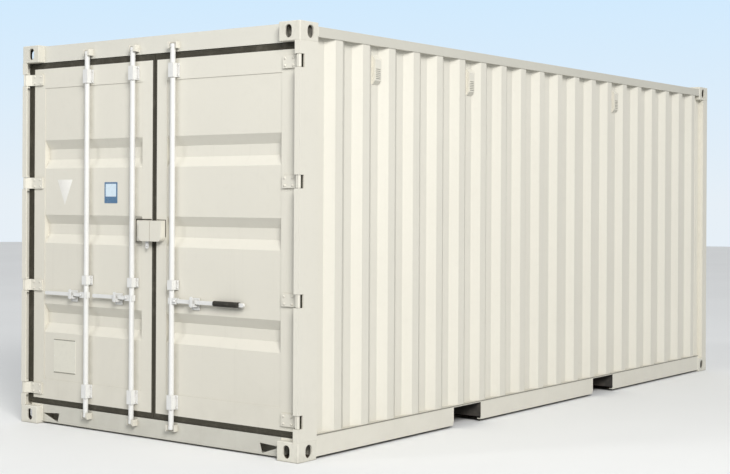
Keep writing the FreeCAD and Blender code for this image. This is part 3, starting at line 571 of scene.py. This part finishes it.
def data_plate():
    """A blank plate low on the left door, dark along its top and foot, with six rivets."""
    x0, x1, z0, z1 = -0.947, -0.731, 0.357, 0.586
    thick = 0.0018
    face = PANEL_FACE - thick
    bm = bmesh.new()
    sheet_plate(bm, x0, x1, z0, z1, PANEL_FACE, thick)
    piece("data_plate", bm, "left_door", PLATE_FACE)
    bm = bmesh.new()
    for z in (z0 + 0.0035, z1 - 0.0035):
        bead(bm, [(x0 + 0.004, face, z), (x1 - 0.004, face, z)], FRONT, 0.0028)
    piece("data_plate_edges", bm, "left_door", SEALANT)
    bm = bmesh.new()
    for x in (x0 + 0.008, x1 - 0.008):
        for z in (z0 + 0.014, (z0 + z1) / 2, z1 - 0.014):
            rivet(bm, (x, face, z), FRONT, 0.0034)
    piece("data_plate_rivets", bm, "left_door", MATERIALS["galvanised"])


def blue_edged_plate():
    """A blank pale plate with a blue edge, broader at its foot."""
    x0, x1, z0, z1 = -0.461, -0.340, 1.512, 1.651
    thick, side, head, foot = 0.0012, 0.012, 0.011, 0.044
    bm = bmesh.new()
    sheet_plate(bm, x0, x1, z0, z1, PANEL_FACE, thick, 0.004)
    piece("blue_edged_plate", bm, "left_door", BLUE_ENAMEL)
    bm = bmesh.new()
    sheet_plate(bm, x0 + side, x1 - side, z0 + foot, z1 - head, PANEL_FACE - thick, 0.0006, 0.003)
    piece("blue_edged_plate_face", bm, "left_door", ICE_ENAMEL)


def film_patch():
    """A blank film triangle that points down."""
    x, half_width, tip, base = -0.8445, 0.0745, 1.500, 1.670
    bm = bmesh.new()
    rings = []
    for lift, inset in ((-0.0005, 0.0), (0.0003, 0.0), (0.0005, 0.0006)):
        y = PANEL_FACE - lift
        rings.append([(x - half_width + inset, y, base - inset), (x + half_width - inset, y, base - inset),
                      (x, y, tip + 2 * inset)])
    loft(bm, rings)
    piece("film_patch", bm, "left_door", PALE_FILM)


def wall_line(node, along, out, sign, z):
    """The outer line of a corrugated wall, read from the foot of its own mesh and set at height z."""
    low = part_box(node)[0].z
    reach = {}
    for vertex in NODES[node].data.vertices:
        if abs(vertex.co.z - low) < 0.0005:
            place = round(vertex.co[along], 4)
            reach[place] = max(reach.get(place, -math.inf), sign * vertex.co[out])
    # Inner and outer corners share their place along the wall, so the larger is the outer one.
    line = []
    for place in sorted(reach):
        point = Vector((0.0, 0.0, z))
        point[along], point[out] = place, sign * reach[place]
        line.append(point)
    return line


def wall_seams():
    """Sealant where the walls meet their rails, and a dark line along the bottom rails' top edge."""
    low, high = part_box("right_side_wall")
    bm = bmesh.new()
    for node, along, out, sign in (("right_side_wall", 1, 0, 1), ("left_side_wall", 1, 0, -1),
                                   ("blind_end_wall", 0, 1, 1)):
        for z, radius in ((low.z + 0.001, 0.0042), (high.z - 0.001, 0.0030)):
            bead(bm, wall_line(node, along, out, sign, z), UP, radius)
    piece("wall_sealant", bm, "frame", WALL_SEALANT)
    # A dark bead along the top edge of each bottom rail.
    bm = bmesh.new()
    end, z = CASTING_Y - 0.002, low.z - 0.0005
    for sx in (-1, 1):
        x = sx * (HIGH.x - 0.0048)
        bead(bm, [(x, -end, z), (x, end, z)], RIGHT, 0.0040)
    piece("rail_edge_dark_line", bm, "frame", SEALANT)


RIPPLE = 0.22
FINE_WELD, WELD = 0.0036, 0.0040
POST_SEAMS = (CASTING_HEIGHT, HIGH.z - CASTING_HEIGHT)
CASTING_SEAMS = ((0.020, 0.128), (2.476, 2.583))
SIDE_RAIL_SEAMS = ((0.019, 0.145), (2.509, 2.567))
END_RAIL_SEAMS = ((0.015, 0.144), (2.510, 2.566))
WALL_SEAM = (0.148, 2.506)
WALL_SEAM_INSET = 0.044
FRONT_POST_REACH, BACK_POST_REACH = 0.040, 0.092
POCKET_FOOT, POCKET_HEAD = 0.038, 0.141


def weld_beads():
    """Welds where posts, rails, header, sill and walls meet the castings and each other."""
    bm = bmesh.new()
    for sx in (-1, 1):
        x, seam = sx * (HIGH.x - FINE_WELD), sx * (CASTING_INNER - 0.001)
        rail_x, wall_x = sx * (HIGH.x - 0.0042), sx * (HIGH.x - WALL_SEAM_INSET)
        front, back = LOW.y + FINE_WELD, HIGH.y - FINE_WELD
        for z in POST_SEAMS:
            bead(bm, [(x, -CASTING_Y, z), (x, front, z), (sx * (HIGH.x - FRONT_POST_REACH), front, z)],
                 UP, FINE_WELD, RIPPLE)
            bead(bm, [(x, HIGH.y - BACK_POST_REACH, z), (x, back, z),
                      (sx * (HIGH.x - BACK_POST_REACH), back, z)], UP, FINE_WELD, RIPPLE)
        for z0, z1 in CASTING_SEAMS:
            bead(bm, [(seam, LEAF_FACE - 0.001, z0), (seam, LEAF_FACE - 0.001, z1)], RIGHT, 0.0042, RIPPLE)
        for sy in (-1, 1):
            y = sy * (CASTING_Y - 0.001)
            for z0, z1 in SIDE_RAIL_SEAMS:
                bead(bm, [(rail_x, y, z0), (rail_x, y, z1)], RIGHT, WELD, RIPPLE)
            bead(bm, [(wall_x, y, z) for z in WALL_SEAM], RIGHT, WELD, RIPPLE, 0.009)
        for y0, y1 in pocket_mouths():
            bead(bm, [(rail_x, y0, POCKET_FOOT), (rail_x, y0, POCKET_HEAD), (rail_x, y1, POCKET_HEAD),
                      (rail_x, y1, POCKET_FOOT)], RIGHT, 0.0034, RIPPLE)
        for z0, z1 in END_RAIL_SEAMS:
            y = HIGH.y - 0.004
            bead(bm, [(sx * CASTING_INNER, y, z0), (sx * CASTING_INNER, y, z1)], RIGHT, FINE_WELD, RIPPLE)
    piece("weld_beads", bm, "frame", MATERIALS["frame_paint"], 60.0)


def edges_along(node, digits=4):
    """Every place along Y at which a CAD node has a vertex."""
    return sorted({round(v.co.y, digits) for v in NODES[node].data.vertices})


def pocket_mouths():
    """(start, end) along Y of each fork pocket."""
    ys = edges_along("fork_pockets")
    return (ys[0], ys[3]), (ys[4], ys[7])


def vent_places():
    """(start, end) along Y of each ventilator."""
    ys = edges_along("side_vents")
    return list(zip(ys[0::2], ys[1::2]))


VENT_SLOTS, SLOT_PITCH, SLOT_FOOT = 6, 0.012, 0.036
SLOT_HALF_WIDTH, SLOT_HEIGHT = 0.024, 0.0045
HOOD_HALF_WIDTH = 0.026
HOOD_OUTLINE = ((0.0, 0.0095), (0.0034, 0.0052), (0.0028, 0.0044), (-0.0004, 0.0052))  # (out, up)
VENT_RIVET_SPREAD, VENT_RIVET_INSET = 0.027, 0.031


def vent_details():
    """Thin dark strips of painted shade for the slots in each ventilator cover, with small hoods over
    them, and its rivets.
    """
    slots, hoods = bmesh.new(), bmesh.new()
    low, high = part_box("side_vents")
    for sx in (-1, 1):
        face = sx * high.x
        for y0, y1 in vent_places():
            mid = (y0 + y1) / 2
            for i in range(VENT_SLOTS):
                z = low.z + SLOT_FOOT + i * SLOT_PITCH
                ring = [(mid + sy * SLOT_HALF_WIDTH, z + up)
                        for sy, up in ((-1, 0.0), (1, 0.0), (1, SLOT_HEIGHT), (-1, SLOT_HEIGHT))]
                # Each slot is a thin dark strip on the cover's face: painted shade in place of an opening.
                loft(slots, [[(face - sx * 0.0005, y, h) for y, h in ring],
                             [(face + sx * 0.0004, y, h) for y, h in ring]])
                loft(hoods, [[(face + sx * out, y, z + up) for out, up in HOOD_OUTLINE]
                             for y in (mid - HOOD_HALF_WIDTH, mid + HOOD_HALF_WIDTH)])
            for dy in (-VENT_RIVET_SPREAD, VENT_RIVET_SPREAD):
                for z in (low.z + VENT_RIVET_INSET, high.z - VENT_RIVET_INSET):
                    rivet(hoods, (face, mid + dy, z), (sx, 0, 0), 0.0032)
    piece("vent_slot_shadows", slots, "frame", VENT_SLOT_SHADE)
    piece("vent_hoods", hoods, "frame", MATERIALS["wall_paint"])


MEMBER_FLANGE = 0.045
SCREWS_ACROSS, SCREW_PITCH = 16, 0.144
SCREW_PROFILE = ((0.0062, -0.001), (0.0062, 0.0002), (0.0050, 0.0005), (0.0022, 0.0001))


def floor_screws():
    """Countersunk screws through the boards into the cross members."""
    bm = bmesh.new()
    edges = edges_along("cross_members", 3)
    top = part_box("floor")[1].z
    for y in edges:
        if round(y + MEMBER_FLANGE, 3) not in edges:
            continue
        for i in range(SCREWS_ACROSS):
            x = (i - (SCREWS_ACROSS - 1) / 2) * SCREW_PITCH
            turned(bm, (x, y + 0.022, top), UP, SCREW_PROFILE, 10)
    piece("floor_screws", bm, "frame", MATERIALS["galvanised"])


# ---------------------------------------------------------------- stage, light and camera

FLOOR_REACH = 41.0
FLOOR_TONES = rgb(0.835, 0.84, 0.84), rgb(0.855, 0.86, 0.86)
FLOOR_BOUNCE = rgb(0.49, 0.495, 0.495)
HORIZON, ZENITH = rgb(0.80, 0.87, 0.93), rgb(0.62, 0.82, 1.00)
ZENITH_SLOPE = 0.16
AMBIENT_COLOUR, AMBIENT = rgb(0.90, 0.95, 1.0), 0.26
WARM, COOL = (1.0, 0.985, 0.955), (0.97, 0.985, 1.0)
WIDE_LIGHTS = (  # name, direction it comes from, strength, width in degrees, colour
    ("sun", (0.78, -0.64, 0.60), 0.88, 30.0, WARM),
    ("left", (-0.50, -0.80, 0.42), 0.40, 7.0, (1.0, 0.99, 0.97)),
    ("top", (0.05, -0.05, 1.0), 0.55, 130.0, COOL),
    ("back", (-0.60, 0.70, 0.55), 0.55, 60.0, COOL),
)
KEY_PLACE, KEY_TARGET, KEY_SIZE, KEY_POWER = (12.5, -12.3, 10.0), (1.2, -3.0, 1.3), 6.0, 2050.0
CAMERA_PLACE = (6.282, -9.464, 1.533)
CAMERA_TURN, CAMERA_SLOPE, CAMERA_ROLL = -0.6757, -0.001, 0.0052
CAMERA_LENS, CAMERA_SHIFT = 69.28, (0.1074, -0.0474)


def studio():
    """A pale floor under a pale blue sky, with wide lights all round and one nearer key lamp."""
    bpy.context.scene.view_settings.view_transform = "Standard"
    floor_mesh = bpy.data.meshes.new("studio_floor")
    ring = [(FLOOR_REACH * math.cos(a), FLOOR_REACH * math.sin(a), 0.0)
            for a in (2 * math.pi * i / 180 for i in range(180))]
    floor_mesh.from_pydata(ring, [], [list(range(len(ring)))])
    floor = bpy.data.objects.new("studio_floor", floor_mesh)
    bpy.context.scene.collection.objects.link(floor)
    m = Maker("studio_floor")
    pale = m.blend(m.span(m.noise(3.0, 3.0, 0.5), 0.3, 0.7), *FLOOR_TONES)
    # The floor sends back less light than it shows, so that faces turned down stay in shade.
    direct = m.add("ShaderNodeLightPath").outputs["Is Camera Ray"]
    tone = m.blend(direct, FLOOR_BOUNCE, pale)
    floor_mesh.materials.append(m.finish(tone, 0.9, None, Specular_IOR_Level=0.1))
    sky()
    for settings in WIDE_LIGHTS:
        wide_light(*settings)
    near_light("key", KEY_PLACE, KEY_TARGET, KEY_SIZE, KEY_POWER, WARM)


def sky():
    """Seen directly it grades from near white at the horizon to pale blue; it lights softly."""
    world = bpy.data.worlds.new("studio")
    bpy.context.scene.world = world
    world.use_nodes = True
    tree = world.node_tree
    tree.nodes.clear()
    place = tree.nodes.new("ShaderNodeTexCoord")
    height = tree.nodes.new("ShaderNodeSeparateXYZ")
    ramp = tree.nodes.new("ShaderNodeMapRange")
    tint = tree.nodes.new("ShaderNodeMix")
    tint.data_type = "RGBA"
    seen = tree.nodes.new("ShaderNodeBackground")
    light = tree.nodes.new("ShaderNodeBackground")
    kind = tree.nodes.new("ShaderNodeLightPath")
    mix = tree.nodes.new("ShaderNodeMixShader")
    out = tree.nodes.new("ShaderNodeOutputWorld")
    tree.links.new(place.outputs["Generated"], height.inputs[0])
    tree.links.new(height.outputs["Z"], ramp.inputs["Value"])
    ramp.inputs["From Min"].default_value = 0.0
    ramp.inputs["From Max"].default_value = ZENITH_SLOPE
    tree.links.new(ramp.outputs[0], tint.inputs[0])
    tint.inputs[6].default_value = HORIZON
    tint.inputs[7].default_value = ZENITH
    tree.links.new(tint.outputs[2], seen.inputs["Color"])
    light.inputs["Color"].default_value = AMBIENT_COLOUR
    light.inputs["Strength"].default_value = AMBIENT
    tree.links.new(kind.outputs["Is Camera Ray"], mix.inputs[0])
    tree.links.new(light.outputs[0], mix.inputs[1])
    tree.links.new(seen.outputs[0], mix.inputs[2])
    tree.links.new(mix.outputs[0], out.inputs[0])


def wide_light(name, toward, strength, angle, colour):
    """An even light from a wide patch of the sky; toward points at that patch."""
    data = bpy.data.lights.new(name, "SUN")
    data.energy = strength
    data.angle = math.radians(angle)
    data.color = colour
    lamp = bpy.data.objects.new(name, data)
    lamp.location = Vector(toward) * 20.0
    lamp.rotation_euler = Vector(toward).to_track_quat("Z", "Y").to_euler()
    bpy.context.scene.collection.objects.link(lamp)


def near_light(name, place, target, size, power, colour):
    """A square lamp that fades along the container."""
    data = bpy.data.lights.new(name, "AREA")
    data.size = size
    data.energy = power
    data.color = colour
    lamp = bpy.data.objects.new(name, data)
    lamp.location = place
    lamp.rotation_euler = (Vector(target) - Vector(place)).to_track_quat("-Z", "Y").to_euler()
    bpy.context.scene.collection.objects.link(lamp)


def camera():
    """Eye height, to the right of the doors, looking along the side wall."""
    data = bpy.data.cameras.new("camera")
    data.sensor_width = 36.0
    data.lens = CAMERA_LENS
    data.shift_x, data.shift_y = CAMERA_SHIFT
    data.clip_end = 200.0
    seen = bpy.data.objects.new("camera", data)
    seen.location = CAMERA_PLACE
    forward = Vector((math.sin(CAMERA_TURN), math.cos(CAMERA_TURN), CAMERA_SLOPE))
    level = forward.to_track_quat("-Z", "Y").to_matrix().to_4x4()
    seen.matrix_world = Matrix.Translation(seen.location) @ level @ Matrix.Rotation(CAMERA_ROLL, 4, "Z")
    bpy.context.scene.collection.objects.link(seen)
    bpy.context.scene.camera = seen


camera()
studio()
dress_nodes()
door_bolts()
hub_rivets()
gasket_ribs()
padlock_eye()
lock_box_trim()
data_plate()
blue_edged_plate()
film_patch()
wall_seams()
weld_beads()
vent_details()
floor_screws()
